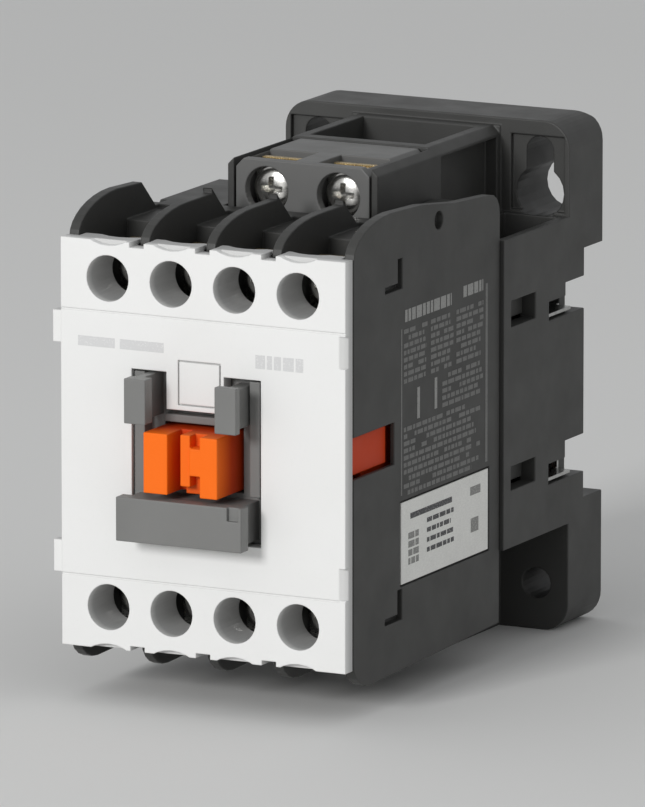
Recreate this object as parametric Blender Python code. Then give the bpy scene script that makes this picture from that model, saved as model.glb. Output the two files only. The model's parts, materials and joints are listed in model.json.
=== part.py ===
"""A four-pole DIN rail contactor, modelled as the separate pieces it is assembled from.

Lengths are in millimetres until node() turns a finished piece into metres. The origin is the centre of
the flat seat that rests on the rail's front faces, the front of the contactor faces -Y, and +Z is up.
"""

import math

import bmesh
import bpy
from mathutils import Matrix, Vector

# Driving dimensions
WIDTH = 44.0  # of the front housing and the cover
BASE_WIDTH = 45.0
HEIGHT = 73.5
DEPTH = 80.4  # from the back of the ears to the white cover's face
GROOVE = 6.0  # how far the ears reach behind the rail seat
STROKE = 5.5  # travel of the contact carrier
GAP = 0.3  # between a piece and its neighbour
PAST = 1.0  # how far a cutting tool reaches past the surface it opens
OUTSIDE = 40.0  # a height clear of every piece
MILLIMETRE = 0.001

HALF = WIDTH / 2
BASE_HALF = BASE_WIDTH / 2
TOP = HEIGHT / 2
BACK = GROOVE
COVER_FACE = BACK - DEPTH
COVER_THICKNESS = 2.2
COVER_BACK = COVER_FACE + COVER_THICKNESS

# Distances above (1) and below (-1) the centre line
COVER_EDGE = {1: 28.2, -1: 29.3}
ROW_HEIGHT = {1: 22.9, -1: 23.4}

# Poles, terminals and the barriers between them
POLES = (-14.7, -4.9, 4.9, 14.7)
BARRIERS = (-10.2, 0.0, 10.2)
BARRIER_THICKNESS = 1.4
SIDE_WALL = 1.5
ACCESS_RADIUS = 3.25  # screwdriver holes
COLLAR_RADIUS = 3.75
COLLAR_END = -66.7
TUNNEL_RADIUS = COLLAR_RADIUS + GAP

# Planes along the depth of the front housing
HOUSING_FRONT = COVER_BACK + GAP
FRONT_WALL_BACK = -69.5
BAY_BACK = -57.5
PARTITION_FRONT = -49.7
PARTITION_BACK = -47.4
SEAM = -26.0
SHOULDER = 32.8  # height of the side wall behind the cover
BARRIER_DROP = 1.0  # how much lower the barriers are than the side walls
LOWER_EDGE = -32.3
CHAMBER_TOP = 16.3
BAY_FLOOR = 17.8
ROOF = 28.0

# Opening in the cover's face, and the indicator inside it
OPENING_X = (-11.0, 9.0)
OPENING_Z = (-12.8, 10.6)
TAB_X = (-5.6, 3.3)
TAB_BOTTOM = 5.4
TAG_POCKET_X = (-3.8, 2.8)
TAG_POCKET_Z = (6.1, 12.4)
LOCATING_Z = ((13.3, 17.8), (-19.1, -14.6))  # lugs and notches on the cover's side edges
SILL_TOP = -6.4
INDICATOR_X = (-6.7, 4.7)
INDICATOR_Z = (-5.6, 2.9)
FRAME_FACE = COVER_FACE - 5.4
LIP_THICKNESS = 2.2  # of the accessory frame's hooks
INDICATOR_FACE = COVER_FACE - 4.8

# Side actuators of the carrier and the windows that show them
ARM_Z = (-2.3, 3.0)
ARM_Y = (-71.9, -60.1)
ARM_OUTER = 21.0
WINDOW_BACK = -59.4

STICKER_Y = (-57.1, -29.9)
STICKER_Z = (-20.0, -8.5)

# Terminals: distances along the depth
PLATE_Y = (-62.3, -61.3)
CLAMP_Y = (-63.8, -62.6)
HEAD_Y = (-66.3, -64.1)
SHAFT_END = -58.0
HEAD_RADIUS = 3.0
SHAFT_RADIUS = 1.7
SHAFT_HOLE = 2.1

# Contacts
BRIDGE_Y = (-57.2, -56.2)
BRIDGE_HALF_LENGTH = 12.8
TIP_HEIGHT = 10.5
TIP_RADIUS = 2.0
TIP_THICKNESS = 0.8
FIXED_TIP_Y = (-51.0, -50.0)
STRIP_WIDTH = 6.0
STRIP_STEP_Z = (14.5, 15.5)
STRIP_INNER_END = 8.2
CLAMP_HALF = 3.5
WINDOW_HALF_WIDTH = 3.3
CARRIER_WINDOW_Y = (-63.0, -55.9)
COLUMN_Y = (-65.0, -44.3)
COLUMN_HALF_WIDTH = 19.6
COLUMN_HALF_HEIGHT = 4.5

# Magnet and coil
POLE_FACE = -28.5
YOKE_Y = (-9.7, -4.2)
MAGNET_GAP = STROKE + 0.2
STACK_HALF = 6.0
LEG_CENTRE = 4.5
LEG_OUTER = (12.0, 16.5)
ARMATURE_BACK = POLE_FACE - MAGNET_GAP
ARMATURE_YOKE = (-44.0, -39.0)
RETURN_SPRING_Z = 11.3
PIN_Y = -41.5  # armature pin
PIN_RADIUS = 1.2
PIN_BORE = 1.5
SHADING_SLOT_X = (13.0, 14.4)

# Coil terminal head and the cradle of the base around it
HEAD_FACE = -44.0
COIL_HEAD_X = 10.4
COIL_HEAD_Z = (20.0, 35.4)
COIL_SCREW_X = (-5.6, 5.6)
COIL_SCREW_Z = 31.1
COIL_CORNER = 1.2  # chamfer of the head's upper corners
COIL_FLANGE_Y = (-27.6, -26.3)  # bobbin's front flange, under the terminal head
NECK_HALF = 6.0
CRADLE_X = 11.7
CRADLE_TOP = 35.6

# Base
BASE_TOP = 23.3
BASE_BOTTOM = -21.0
EAR_FRONT = -5.0
EAR_INNER = 18.0
EAR_CORNER = 4.0  # radius
BASE_CAVITY_X = 20.0
BASE_CAVITY_BACK = -2.0
SCREW_SPACING_X = 35.0
MOUNT_Z = 30.0
M4_CLEARANCE = 2.2  # radius
M4_SLOT = 2.1  # half the width of a keyhole's slot
M4_HEAD = 3.7  # radius of a keyhole's wide end
CLIP_Y = (1.5, 4.7)
CLIP_HALF_WIDTH = 8.0
CLIP_SPRING_Z = (-31.7, -22.3)
SADDLE_Z = (-13.9, 10.2)

DARK_PLASTIC = ("dark_plastic", (0.048, 0.048, 0.046), 0.5, 0.0)
WHITE_PLASTIC = ("white_plastic", (0.83, 0.83, 0.82), 0.38, 0.0)
GREY_PLASTIC = ("grey_plastic", (0.20, 0.20, 0.195), 0.45, 0.0)
ORANGE_PLASTIC = ("orange_plastic", (0.87, 0.19, 0.03), 0.4, 0.0)
NICKEL = ("nickel_steel", (0.62, 0.61, 0.58), 0.28, 1.0)
SPRING_STEEL = ("spring_steel", (0.55, 0.55, 0.54), 0.3, 1.0)
COPPER = ("copper", (0.72, 0.38, 0.24), 0.35, 1.0)
BRASS = ("brass", (0.72, 0.55, 0.27), 0.32, 1.0)
LAMINATION = ("lamination_steel", (0.34, 0.34, 0.35), 0.42, 1.0)
WIRE_WINDING = ("winding_copper", (0.42, 0.13, 0.06), 0.4, 0.6)
RUBBER = ("rubber", (0.02, 0.02, 0.02), 0.8, 0.0)
PAPER = ("label_paper", (0.72, 0.72, 0.70), 0.6, 0.0)


def clear_scene():
    for old in list(bpy.data.objects):
        bpy.data.objects.remove(old, do_unlink=True)


def material(finish):
    """Return the Principled material of a finish, made on first use."""
    name, colour, roughness, metallic = finish
    found = bpy.data.materials.get(name)
    if found:
        return found
    made = bpy.data.materials.new(name)
    made.use_nodes = True
    shader = made.node_tree.nodes["Principled BSDF"]
    shader.inputs["Base Color"].default_value = (*colour, 1.0)
    shader.inputs["Roughness"].default_value = roughness
    shader.inputs["Metallic"].default_value = metallic
    return made


def new_object(name, shape):
    """Turn a bmesh into an object in the scene."""
    bmesh.ops.recalc_face_normals(shape, faces=shape.faces)
    mesh = bpy.data.meshes.new(name)
    shape.to_mesh(mesh)
    shape.free()
    made = bpy.data.objects.new(name, mesh)
    bpy.context.scene.collection.objects.link(made)
    return made


def box(x, y, z):
    """A block between two values on each axis."""
    shape = bmesh.new()
    size = Vector((x[1] - x[0], y[1] - y[0], z[1] - z[0]))
    centre = Vector((x[0] + x[1], y[0] + y[1], z[0] + z[1])) / 2
    matrix = Matrix.Translation(centre) @ Matrix.Diagonal((*size, 1.0))
    bmesh.ops.create_cube(shape, size=1.0, matrix=matrix)
    return new_object("box", shape)


def centred(middle, half):
    """The pair of values half a width either side of a middle."""
    return (middle - half, middle + half)


def ordered(first, second):
    return (min(first, second), max(first, second))


AXES = {
    "X": Matrix.Rotation(math.pi / 2, 4, "Y"),
    "Y": Matrix.Rotation(math.pi / 2, 4, "X"),
    "Z": Matrix.Identity(4),
}


def rod(axis, centre, radius, span, sides=20):
    """A round bar along an axis; centre gives its place on the other two axes."""
    shape = bmesh.new()
    middle = sum(span) / 2
    places = {"X": (middle, *centre), "Y": (centre[0], middle, centre[1]), "Z": (*centre, middle)}
    matrix = Matrix.Translation(places[axis]) @ AXES[axis]
    length = span[1] - span[0]
    bmesh.ops.create_cone(
        shape, cap_ends=True, segments=sides, radius1=radius, radius2=radius, depth=length, matrix=matrix
    )
    return new_object("rod", shape)


def prism(outline, x):
    """An outline of (y, z) points, pushed along X."""
    shape = bmesh.new()
    corners = [shape.verts.new((x[0], point_y, point_z)) for point_y, point_z in outline]
    face = shape.faces.new(corners)
    pushed = bmesh.ops.extrude_face_region(shape, geom=[face])
    moved = [item for item in pushed["geom"] if isinstance(item, bmesh.types.BMVert)]
    bmesh.ops.translate(shape, verts=moved, vec=(x[1] - x[0], 0.0, 0.0))
    return new_object("prism", shape)


def arc(centre, radii, start, end, steps):
    """Points on an elliptical arc in the YZ plane; angles in degrees from +Y towards +Z."""
    points = []
    for step in range(steps + 1):
        angle = math.radians(start + (end - start) * step / steps)
        points.append((centre[0] + radii[0] * math.cos(angle), centre[1] + radii[1] * math.sin(angle)))
    return points


def merge(pieces):
    """Put several meshes into one object, without joining their surfaces."""
    shape = bmesh.new()
    for piece in pieces:
        shape.from_mesh(piece.data)
        bpy.data.objects.remove(piece, do_unlink=True)
    return new_object("tools", shape)


def combine(body, pieces, operation):
    """Apply one exact Boolean of a body with a list of pieces."""
    tool = merge(pieces)
    modifier = body.modifiers.new("combine", "BOOLEAN")
    modifier.operation = operation
    modifier.solver = "EXACT"
    modifier.use_self = True
    modifier.object = tool
    evaluated = body.evaluated_get(bpy.context.evaluated_depsgraph_get())
    result = bpy.data.meshes.new_from_object(evaluated)
    body.modifiers.clear()
    body.data = result
    bpy.data.objects.remove(tool, do_unlink=True)
    return body


def fuse(first, *others):
    return combine(first, others, "UNION")


def cut(body, *tools):
    return combine(body, tools, "DIFFERENCE")


def tidy(mesh):
    """Weld stray double points and dissolve the flat seams that Booleans leave."""
    shape = bmesh.new()
    shape.from_mesh(mesh)
    bmesh.ops.remove_doubles(shape, verts=shape.verts, dist=0.001)
    bmesh.ops.dissolve_limit(shape, angle_limit=math.radians(0.2), verts=shape.verts, edges=shape.edges)
    bmesh.ops.triangulate(shape, faces=shape.faces)
    bmesh.ops.recalc_face_normals(shape, faces=shape.faces)
    shape.to_mesh(mesh)
    shape.free()


def node(name, piece, finish, origin=(0.0, 0.0, 0.0)):
    """Name a finished piece, give it a material and an origin, and scale it to metres."""
    tidy(piece.data)
    piece.data.transform(Matrix.Scale(MILLIMETRE, 4) @ Matrix.Translation(-Vector(origin)))
    piece.location = Vector(origin) * MILLIMETRE
    piece.name = name
    piece.data.name = name
    piece.data.materials.clear()
    piece.data.materials.append(material(finish))
    piece.data.shade_smooth()
    piece.data.set_sharp_from_angle(angle=math.radians(30.0))
    return piece


def bays():
    """The clear width of each pole's bay, between the side walls and barriers."""
    walls = [-HALF + SIDE_WALL]
    for barrier in BARRIERS:
        walls += [barrier - BARRIER_THICKNESS / 2, barrier + BARRIER_THICKNESS / 2]
    walls.append(HALF - SIDE_WALL)
    return list(zip(walls[0::2], walls[1::2]))


def front_slope(crest):
    """Rounded slope from the housing's front up to a crest."""
    centre = (-60.2, 27.8)
    return arc(centre, (HOUSING_FRONT - centre[0], crest - centre[1]), 0.0, 90.0, 8)


def housing_outline():
    """Side view of the front housing, with its rounded shoulders."""
    front_top = front_slope(SHOULDER)
    rear_corner = arc((-29.3, 27.3), (3.0, 3.0), 90.0, 0.0, 4)
    front_bottom = arc((-66.5, -28.4), (HOUSING_FRONT - -66.5, 28.4 + LOWER_EDGE), 90.0, 0.0, 5)
    crest = [(-51.0, 32.4), (-40.0, 31.0)]
    foot = [(SEAM - GAP, 23.6), (SEAM - GAP, LOWER_EDGE + 1.0)]
    return front_top + crest + rear_corner + foot + front_bottom


def barrier_relief(side):
    """The space above the barriers behind the wire entries, on the top (1) or the bottom (-1)."""
    rear, low = SEAM + PAST, ROOF + 0.6
    outline = [(-53.2, OUTSIDE), (-53.2, 32.7), (-48.8, low), (rear, low), (rear, OUTSIDE)]
    return prism([(y, side * z) for y, z in outline], (-HALF - PAST, HALF - SIDE_WALL))


def barrier_top():
    """The space above the upper barriers at the front, which stop short of the side walls."""
    crest = SHOULDER - BARRIER_DROP
    front = HOUSING_FRONT - PAST
    slope = front_slope(crest)
    above = [(-53.0, crest), (-53.0, OUTSIDE), (front, OUTSIDE), (front, slope[0][1])]
    return prism(slope + above, centred(0.0, HALF - SIDE_WALL))


def terminal_cuts():
    """Wire bay, screwdriver tunnel and strip slot of each terminal, and each pole's chamber."""
    tools = []
    front_wall = (HOUSING_FRONT - PAST, FRONT_WALL_BACK + 0.5)
    for pole, bay in zip(POLES, bays()):
        tools.append(box(bay, (FRONT_WALL_BACK, PARTITION_FRONT), (-CHAMBER_TOP, CHAMBER_TOP)))
        for side in (1, -1):
            tools.append(box(bay, (FRONT_WALL_BACK, BAY_BACK), ordered(side * BAY_FLOOR, side * OUTSIDE)))
            tools.append(box(bay, (BAY_BACK - 0.5, -48.0), ordered(side * ROOF, side * OUTSIDE)))
            tools.append(box(bay, front_wall, ordered(side * (COVER_EDGE[side] - 1.1), side * OUTSIDE)))
            tools.append(rod("Y", (pole, side * ROW_HEIGHT[side]), TUNNEL_RADIUS, front_wall))
            slot = ordered(side * (CHAMBER_TOP - 0.5), side * (BAY_FLOOR + 0.5))
            width = centred(pole, STRIP_WIDTH / 2 + GAP)
            tools.append(box(width, (PLATE_Y[0] - GAP, PLATE_Y[1] + GAP), slot))
    return tools


def carrier_cuts():
    """Room for the carrier: its channel, the partition opening, arm pockets and side windows."""
    front = HOUSING_FRONT - PAST
    indicator_room = (INDICATOR_X[0] - 1.0, INDICATOR_X[1] + 1.0)
    frame_room = (OPENING_X[0] - 1.7, OPENING_X[1] + 1.7)
    pocket_z = (ARM_Z[0] - 0.7, ARM_Z[1] + 0.7)
    tools = [
        box(centred(0.0, HALF - SIDE_WALL), (FRONT_WALL_BACK, PARTITION_FRONT), (-6.2, 6.2)),
        box((-19.9, 19.9), (PARTITION_FRONT - 0.5, PARTITION_BACK + 0.5), (-4.9, 4.9)),
        box(indicator_room, (HOUSING_FRONT, FRONT_WALL_BACK + 0.5), (-6.6, 3.9)),
        box(frame_room, (front, HOUSING_FRONT + 1.3), (OPENING_Z[0] - 1.7, OPENING_Z[1] + 1.7)),
    ]
    for side in (1, -1):
        outer = side * (ARM_OUTER + GAP)
        travel_end = ARM_Y[1] + STROKE + 0.6
        tools.append(box(ordered(side * 18.2, outer), (front, FRONT_WALL_BACK + 0.5), pocket_z))
        tools.append(box(ordered(side * 20.0, outer), (front, travel_end), pocket_z))
        tools.append(box(ordered(side * 20.5, side * 23.0), (front, WINDOW_BACK), (-2.6, 3.3)))
    return tools


def housing_marks():
    """Small reliefs on the side faces: latch slots, dimple and the sticker's pocket."""
    pocket_y = (STICKER_Y[0] - GAP, STICKER_Y[1] + GAP)
    pocket_z = (STICKER_Z[0] - GAP, STICKER_Z[1] + GAP)
    tools = [box((HALF - 0.45, HALF + PAST), pocket_y, pocket_z)]
    for side in (1, -1):
        skin = ordered(side * (HALF - 1.1), side * (HALF + PAST))
        for low, high in ((21.7, 26.0), (-24.9, -20.6)):
            tools.append(box(skin, (-58.3, -56.9), (low, high)))
            tools.append(box(skin, (-62.2, -57.2), (low, low + 0.9)))
        tools.append(rod("X", (-45.6, 29.4), 1.3, skin, 20))
    return tools


def main_housing():
    """Front housing: barriers, terminal bays, contact chambers and the room for the magnet."""
    body = prism(housing_outline(), (-HALF, HALF))
    cut(body, barrier_relief(1), barrier_relief(-1), barrier_top())
    cut(body, *terminal_cuts())
    cut(body, *carrier_cuts())
    rear = SEAM + PAST
    magnet_room = box(centred(0.0, BASE_CAVITY_X), (PARTITION_BACK, rear), (-19.0, CHAMBER_TOP))
    coil_notch = box(centred(0.0, CRADLE_X + GAP), (HEAD_FACE - 0.8, rear), (18.3, OUTSIDE))
    lower_pockets = [
        box(ordered(side * 1.0, side * 20.0), (-46.0, rear), (-29.6, -20.8)) for side in (1, -1)
    ]
    neck_slot = box(centred(0.0, NECK_HALF + 0.4), (-28.0, rear), (CHAMBER_TOP - 1.0, 19.0))
    cut(body, magnet_room, coil_notch, neck_slot, *lower_pockets)
    cut(body, *housing_marks())
    for side in (1, -1):
        for low, high in ((10.9, 14.0), (-12.5, -9.7)):
            fuse(body, *snap_finger(side, low, high))
    return node("main_housing", body, DARK_PLASTIC)


def snap_finger(side, low, high):
    """Root, finger and tooth that catch in a window of the base."""
    inner, tip = 18.3, -16.2
    root = box(ordered(side * inner, side * 20.5), (-31.0, -26.6), (low, high))
    finger = box(ordered(side * inner, side * 19.7), (-27.0, tip), (low, high))
    tooth = box(ordered(side * 19.5, side * 20.6), (-22.6, tip), (low + 0.3, high - 0.3))
    return root, finger, tooth


def cover_tongues():
    """Tongues that close the front of each wire entry, hollowed for the wire."""
    tongues = []
    for pole, bay in zip(POLES, bays()):
        for side in (1, -1):
            width = (bay[0] + GAP, bay[1] - GAP)
            edge = COVER_EDGE[side]
            tongue = box(width, (COVER_FACE + 1.0, -70.2), ordered(side * (edge - 0.8), side * edge))
            scallop = rod("Z", (pole, -66.6), 4.6, centred(side * edge, 3.0))
            tongues.append(cut(tongue, scallop))
    return tongues


def front_cover():
    """White cover plate with collars round its screw holes, the accessory opening and the tab."""
    body = box((-HALF, HALF), (COVER_FACE, COVER_BACK), (-COVER_EDGE[-1], COVER_EDGE[1]))
    lugs = [
        box((-HALF - 1.4, -HALF + 1.0), (COVER_FACE + 0.3, COVER_BACK - 0.4), z) for z in LOCATING_Z
    ]
    places = [(pole, side * ROW_HEIGHT[side]) for pole in POLES for side in (1, -1)]
    collars = [rod("Y", place, COLLAR_RADIUS, (COVER_FACE + 1.0, COLLAR_END), 32) for place in places]
    fuse(body, *lugs, *collars)
    fuse(body, *cover_tongues())
    front = COVER_FACE - PAST
    through = (front, COLLAR_END + PAST)
    holes = [rod("Y", place, ACCESS_RADIUS, through, 32) for place in places]
    for side in (1, -1):
        edge = COVER_EDGE[side]
        for pole in POLES:
            holes.append(rod("Y", (pole, side * (edge + 5.3)), 6.0, (front, COVER_FACE + 1.1), 32))
        for barrier in BARRIERS:
            notch = ordered(side * (edge - 0.7), side * (edge + 1.0))
            holes.append(box(centred(barrier, 1.1), (front, COVER_BACK + 1.0), notch))
    cut(body, *holes)
    left = box((OPENING_X[0], TAB_X[0]), through, (TAB_BOTTOM - 1.0, OPENING_Z[1]))
    right = box((TAB_X[1], OPENING_X[1]), through, (TAB_BOTTOM - 1.0, OPENING_Z[1]))
    lower = box(OPENING_X, through, (OPENING_Z[0], TAB_BOTTOM))
    cut(body, left, right, lower)
    seam = (front, COVER_FACE + 0.12)
    marks = [box((-HALF - 3.0, HALF + 1.0), seam, centred(height, 0.12)) for height in (18.2, -19.2)]
    marks += [rod("Z", (HALF, COVER_FACE), 1.0, z, 4) for z in LOCATING_Z]
    marks.append(box(TAG_POCKET_X, (front, COVER_FACE + 0.5), TAG_POCKET_Z))
    cut(body, *marks)
    return node("front_cover", body, WHITE_PLASTIC)


def marker_tag():
    """Small plate for a circuit number, clipped into the tab above the indicator."""
    x = (TAG_POCKET_X[0] + 0.2, TAG_POCKET_X[1] - 0.2)
    z = (TAG_POCKET_Z[0] + 0.2, TAG_POCKET_Z[1] - 0.2)
    return node("marker_tag", box(x, (COVER_FACE, COVER_FACE + 0.3), z), WHITE_PLASTIC)


def accessory_frame():
    """Grey frame behind the cover's opening, with the lugs that front accessories hook onto."""
    margin = 1.4
    flange_x = (OPENING_X[0] - margin, OPENING_X[1] + margin)
    flange_z = (OPENING_Z[0] - margin, OPENING_Z[1] + margin)
    flange = box(flange_x, (HOUSING_FRONT, HOUSING_FRONT + 1.0), flange_z)
    root = HOUSING_FRONT + 0.5
    inner_x = (OPENING_X[0] + GAP, OPENING_X[1] - GAP)
    inner_z = (OPENING_Z[0] + GAP, OPENING_Z[1] - GAP)
    rail_face = COVER_FACE + 0.3
    lip = (FRAME_FACE, FRAME_FACE + LIP_THICKNESS)
    stem = (FRAME_FACE + 1.0, root)
    parts = [
        box((inner_x[0], -9.1), (rail_face, root), inner_z),
        box((7.1, inner_x[1]), (rail_face, root), (SILL_TOP + 0.5, inner_z[1])),
        box(inner_x, lip, (-12.6, SILL_TOP)),
        box((-9.9, 7.5), stem, (-12.2, SILL_TOP - GAP)),
        box((-9.4, -6.1), lip, (4.0, 10.3)),
        box((-8.7, -7.3), stem, (4.2, 10.3)),
        box((4.6, 7.9), (FRAME_FACE, FRAME_FACE + 1.3), (3.8, 10.3)),
        box((4.6, 6.8), stem, (4.0, 9.6)),
        box((-6.3, 4.8), (COVER_FACE + 0.8, root), (3.5, TAB_BOTTOM - 0.8)),
    ]
    fuse(flange, *parts)
    corner = box((6.5, 8.2), (FRAME_FACE - 1.0, FRAME_FACE + 0.6), (SILL_TOP - 1.9, SILL_TOP + 1.0))
    gap_window = box((7.7, inner_x[1]), (FRAME_FACE + 3.0, HOUSING_FRONT + 2.0), (-12.2, SILL_TOP + 0.4))
    cut(flange, corner, gap_window)
    window_x = (INDICATOR_X[0] - 0.35, INDICATOR_X[1] + 0.35)
    window_z = (INDICATOR_Z[0] - 0.35, INDICATOR_Z[1] + 0.35)
    cut(flange, box(window_x, (HOUSING_FRONT - 1.5, HOUSING_FRONT + 2.0), window_z))
    return node("accessory_frame", flange, GREY_PLASTIC)


def indicator_cuts():
    """Grooves in the indicator's face: one full slot and the notches of the H beside it."""
    face = INDICATOR_FACE - 1.0
    low, high = INDICATOR_Z[0] - 1.0, INDICATOR_Z[1] + 1.0
    return [
        box((-3.0, -1.3), (face, INDICATOR_FACE + 4.4), (low, high)),
        box((-1.5, 0.4), (face, INDICATOR_FACE + 0.6), (low, high)),
        box((0.2, 2.0), (face, INDICATOR_FACE + 2.4), (1.2, high)),
        box((0.2, 2.0), (face, INDICATOR_FACE + 2.4), (low, -2.6)),
        box((-1.5, 0.6), (face, INDICATOR_FACE + 2.4), (low, -4.3)),
    ]


def contact_carrier():
    """Moving crossbar: indicator, side actuators, bridge windows and the seat of the armature."""
    column = box(centred(0.0, COLUMN_HALF_WIDTH), COLUMN_Y, centred(0.0, COLUMN_HALF_HEIGHT))
    indicator = box(INDICATOR_X, (INDICATOR_FACE, COLUMN_Y[0] + 1.0), INDICATOR_Z)
    seat = box((-17.0, 17.0), (-47.0, COLUMN_Y[1]), centred(0.0, RETURN_SPRING_Z + 3.0))
    parts = [indicator, seat]
    for side in (1, -1):
        arm_x = ordered(side * 18.5, side * ARM_OUTER)
        parts.append(box(arm_x, ARM_Y, ARM_Z))
        parts.append(box((-4.0, 4.0), (-45.0, -39.5), ordered(side * 6.3, side * 8.0)))
    fuse(column, *parts)
    windows = [
        box(centred(pole, WINDOW_HALF_WIDTH), CARRIER_WINDOW_Y, centred(0.0, 8.0)) for pole in POLES
    ]
    bore = rod("Z", (0.0, PIN_Y), PIN_BORE, centred(0.0, 9.0), 12)
    cut(column, bore, *windows)
    cut(column, *indicator_cuts())
    return node("contact_carrier", column, ORANGE_PLASTIC)


def bridge(number, pole):
    """Moving contact: a copper strip with a silver tip at each end."""
    strip = box(centred(pole, 2.6), BRIDGE_Y, centred(0.0, BRIDGE_HALF_LENGTH))
    tips = [
        rod("Y", (pole, side * TIP_HEIGHT), TIP_RADIUS, (BRIDGE_Y[1] - 0.4, BRIDGE_Y[1] + TIP_THICKNESS), 12)
        for side in (1, -1)
    ]
    fuse(strip, *tips)
    return node(f"moving_contact_{number}", strip, COPPER, (pole, BRIDGE_Y[1], 0.0))


def fixed_contact(name, pole, side):
    """Fixed contact: terminal plate, step through the wall, and tip under the bridge."""
    step_in, step_out = STRIP_STEP_Z
    outer_end = ROW_HEIGHT[side] + CLAMP_HALF
    outline = [
        (PLATE_Y[0], outer_end),
        (PLATE_Y[0], step_in),
        (FIXED_TIP_Y[0], step_in),
        (FIXED_TIP_Y[0], STRIP_INNER_END),
        (FIXED_TIP_Y[1], STRIP_INNER_END),
        (FIXED_TIP_Y[1], step_out),
        (PLATE_Y[1], step_out),
        (PLATE_Y[1], outer_end),
    ]
    strip = prism([(y, side * z) for y, z in outline], centred(pole, STRIP_WIDTH / 2))
    tip_y = (FIXED_TIP_Y[0] - TIP_THICKNESS, FIXED_TIP_Y[0] + 0.4)
    tip = rod("Y", (pole, side * TIP_HEIGHT), TIP_RADIUS, tip_y, 12)
    fuse(strip, tip)
    through = (PLATE_Y[0] - PAST, PLATE_Y[1] + PAST)
    cut(strip, rod("Y", (pole, side * ROW_HEIGHT[side]), SHAFT_HOLE, through, 12))
    return node(name, strip, BRASS)


def terminal_screw(name, x, z, head_y, shaft_end):
    """Cross-recess screw; its axis runs along Y through (x, z)."""
    shank = rod("Y", (x, z), SHAFT_RADIUS, (head_y[1] - 0.5, shaft_end), 12)
    head = rod("Y", (x, z), HEAD_RADIUS, head_y, 20)
    fuse(head, shank)
    recess = (head_y[0] - 1.0, head_y[0] + 1.1)
    slot = box(centred(x, 4.0), recess, centred(z, 0.45))
    cross = box(centred(x, 0.45), recess, centred(z, 1.9))
    cut(head, slot, cross)
    return node(name, head, NICKEL, (x, head_y[0], z))


def clamp_washer(name, x, z, span):
    """Square clamp plate that the screw presses onto the wire."""
    width = centred(x, CLAMP_HALF)
    plate = box(width, span, centred(z, CLAMP_HALF))
    ribbed = (span[0], span[1] + 0.2)
    ribs = [box(width, ribbed, centred(z + offset, 0.4)) for offset in (-2.9, 2.9)]
    fuse(plate, *ribs)
    cut(plate, rod("Y", (x, z), SHAFT_HOLE, (span[0] - PAST, span[1] + PAST), 12))
    return node(name, plate, NICKEL, (x, span[0], z))


def terminals():
    """The eight power terminals: strip, clamp and screw."""
    for row, side in (("line", 1), ("load", -1)):
        for number, pole in enumerate(POLES, 1):
            height = side * ROW_HEIGHT[side]
            fixed_contact(f"{row}_contact_{number}", pole, side)
            clamp_washer(f"{row}_clamp_{number}", pole, height, CLAMP_Y)
            terminal_screw(f"{row}_screw_{number}", pole, height, HEAD_Y, SHAFT_END)


def coil_spring(name, axis, centre, radius, wire, span, turns):
    """Round-wire compression spring between two heights along an axis."""
    sides = 6
    per_turn = 10
    steps = int(turns * per_turn)
    shape = bmesh.new()
    rings = []
    length = span[1] - span[0] - 2 * wire
    for step in range(steps + 1):
        share = step / steps
        angle = 2 * math.pi * turns * share
        height = span[0] + wire + length * share
        ring = []
        for side in range(sides):
            roll = 2 * math.pi * side / sides
            reach = radius + wire * math.cos(roll)
            ring.append(shape.verts.new((
                reach * math.cos(angle),
                reach * math.sin(angle),
                height + wire * math.sin(roll),
            )))
        rings.append(ring)
    for lower, upper in zip(rings, rings[1:]):
        for side in range(sides):
            after = (side + 1) % sides
            shape.faces.new((lower[side], lower[after], upper[after], upper[side]))
    shape.faces.new(rings[0])
    shape.faces.new(rings[-1])
    turn = {"Y": Matrix.Rotation(-math.pi / 2, 4, "X"), "Z": Matrix.Identity(4)}[axis]
    place = {"Y": (centre[0], 0.0, centre[1]), "Z": (centre[0], centre[1], 0.0)}[axis]
    spring = new_object(name, shape)
    spring.data.transform(Matrix.Translation(place) @ turn)
    return node(name, spring, SPRING_STEEL)


def contacts():
    """Moving bridges and the springs that press them down."""
    for number, pole in enumerate(POLES, 1):
        bridge(number, pole)
        span = (CARRIER_WINDOW_Y[0] + GAP, BRIDGE_Y[0] - GAP)
        coil_spring(f"contact_spring_{number}", "Y", (pole, 0.0), 1.9, 0.28, span, 4)


def e_core(back, legs_end):
    """E-shaped laminated stack with its yoke at back and legs reaching to legs_end."""
    legs_y = ordered(sum(back) / 2, legs_end)
    yoke = box((-LEG_OUTER[1], LEG_OUTER[1]), back, centred(0.0, STACK_HALF))
    legs = [box(centred(0.0, LEG_CENTRE), legs_y, centred(0.0, STACK_HALF))]
    for side in (1, -1):
        leg_x = ordered(side * LEG_OUTER[0], side * LEG_OUTER[1])
        legs.append(box(leg_x, legs_y, centred(0.0, STACK_HALF)))
    return fuse(yoke, *legs)


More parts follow.
